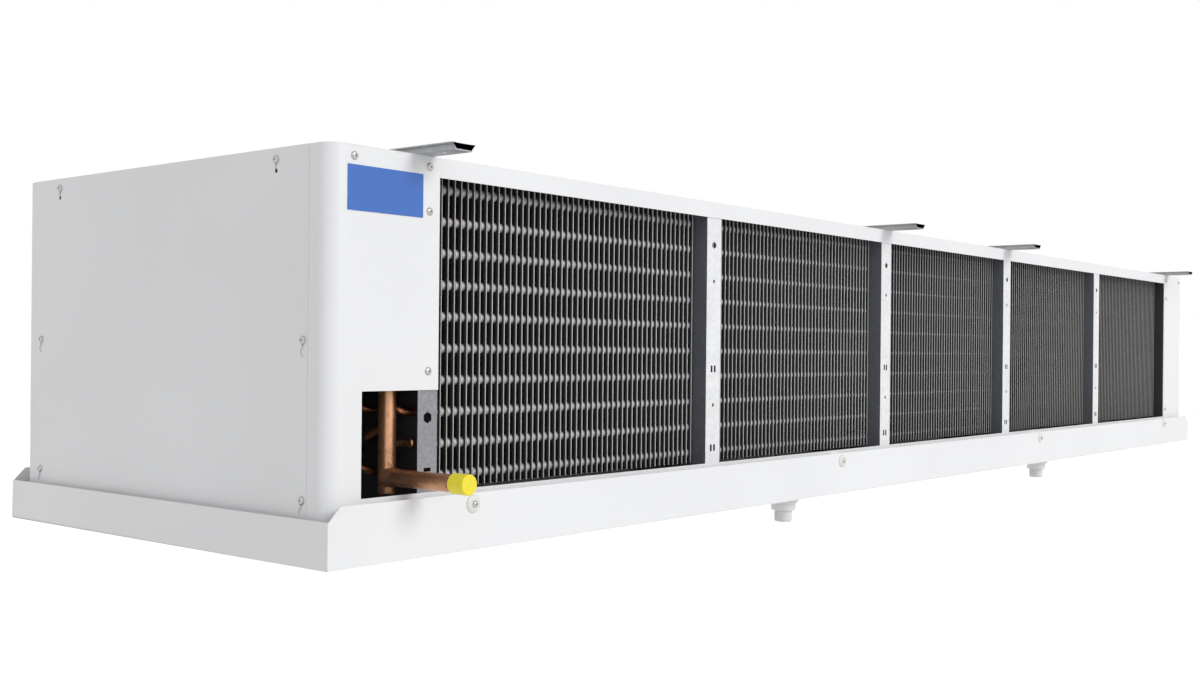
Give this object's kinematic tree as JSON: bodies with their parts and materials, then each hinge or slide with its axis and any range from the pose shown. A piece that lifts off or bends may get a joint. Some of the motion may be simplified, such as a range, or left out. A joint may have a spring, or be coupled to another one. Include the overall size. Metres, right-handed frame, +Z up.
{
  "type": "unit cooler",
  "caption": "Ceiling-hung unit cooler for a walk-in cold room: a long finned copper coil in a white sheet casing, axial fans behind guards, and a hinged drip tray with drains.",
  "frame": {"origin": "centre of the four outer hanger holes, in the plane of the casing's top", "axes": "+X along the cooler, away from the pipe end; +Y from the coil's face to the fans; +Z up"},
  "size_m": [3.38, 0.866, 0.5595],
  "materials": {
    "white_coat": "smooth white powder coat",
    "galvanised": "dull galvanised sheet",
    "stainless": "polished stainless steel",
    "blue_plate": "flat blue, bare",
    "fin_aluminium": "plain fin stock",
    "copper": "drawn copper, slightly tarnished",
    "distributor_brass": "turned brass",
    "cap_plastic": "soft yellow plastic",
    "fan_black": "black coating",
    "rosette_plastic": "off-white plastic",
    "drain_plastic": "white plastic"
  },
  "bodies": {
    "cabinet": {"left_corner_shell": "white_coat", "right_corner_shell": "white_coat", "left_rear_corner": "white_coat", "right_rear_corner": "white_coat", "top_cover": "white_coat", "front_bottom_rail": "white_coat", "fan_panel": "white_coat", "fan_nozzles": "white_coat", "air_baffles": "galvanised", "left_end_sheet": "galvanised", "right_end_sheet": "galvanised", "tube_sheet_1": "galvanised", "tube_sheet_2": "galvanised", "tube_sheet_3": "galvanised", "tube_sheet_4": "galvanised", "tray_brackets": "galvanised", "hinge_brackets": "galvanised", "hanger_rail_1": "galvanised", "hanger_rail_2": "galvanised", "hanger_rail_3": "galvanised", "hanger_rail_4": "galvanised", "left_cover_screws": "stainless", "right_cover_screws": "stainless", "shell_screws": "stainless", "rail_bolts": "stainless", "blank_plate": "blue_plate", "fin_pack_1": "fin_aluminium", "fin_pack_2": "fin_aluminium", "fin_pack_3": "fin_aluminium", "fin_pack_4": "fin_aluminium", "fin_pack_5": "fin_aluminium", "coil_tubes": "copper", "return_bends": "copper", "suction_header": "copper", "feed_capillaries": "copper", "liquid_line": "copper", "distributor": "distributor_brass", "fan_guards": "fan_black", "fan_motor_1": "fan_black", "fan_motor_2": "fan_black", "fan_motor_3": "fan_black", "fan_motor_4": "fan_black", "fan_motor_5": "fan_black"},
    "drip_tray": {"drip_tray": "white_coat", "left_drain": "drain_plastic", "right_drain": "drain_plastic", "tray_rosettes": "rosette_plastic", "tray_screws": "stainless", "hinge_lugs": "galvanised"},
    "left_cover": {"left_side_cover": "white_coat"},
    "right_cover": {"right_side_cover": "white_coat"},
    "suction_cap": {"suction_cap": "cap_plastic"},
    "fan_1": {"fan_impeller_1": "fan_black"},
    "fan_2": {"fan_impeller_2": "fan_black"},
    "fan_3": {"fan_impeller_3": "fan_black"},
    "fan_4": {"fan_impeller_4": "fan_black"},
    "fan_5": {"fan_impeller_5": "fan_black"}
  },
  "joints": [
    {"name": "fan_spin_1", "type": "hinge", "parent": "cabinet", "child": "fan_1", "pos_m": [-1.2, 0.374, -0.2255], "axis": [0, 1, 0], "continuous": true},
    {"name": "fan_spin_2", "type": "hinge", "parent": "cabinet", "child": "fan_2", "pos_m": [-0.6, 0.374, -0.2255], "axis": [0, 1, 0], "continuous": true},
    {"name": "fan_spin_3", "type": "hinge", "parent": "cabinet", "child": "fan_3", "pos_m": [0, 0.374, -0.2255], "axis": [0, 1, 0], "continuous": true},
    {"name": "fan_spin_4", "type": "hinge", "parent": "cabinet", "child": "fan_4", "pos_m": [0.6, 0.374, -0.2255], "axis": [0, 1, 0], "continuous": true},
    {"name": "fan_spin_5", "type": "hinge", "parent": "cabinet", "child": "fan_5", "pos_m": [1.2, 0.374, -0.2255], "axis": [0, 1, 0], "continuous": true},
    {"name": "tray_hinge", "type": "hinge", "parent": "cabinet", "child": "drip_tray", "pos_m": [0, 0.36, -0.438], "axis": [1, 0, 0], "range_deg": [0, 90]},
    {"name": "left_cover_lift", "type": "slide", "parent": "cabinet", "child": "left_cover", "axis": [0, 0, 1], "range_m": [0, 0.014]},
    {"name": "right_cover_lift", "type": "slide", "parent": "cabinet", "child": "right_cover", "axis": [0, 0, 1], "range_m": [0, 0.014]},
    {"name": "cap_pull", "type": "slide", "parent": "cabinet", "child": "suction_cap", "axis": [0, -1, 0], "range_m": [0, 0.03]}
  ]
}
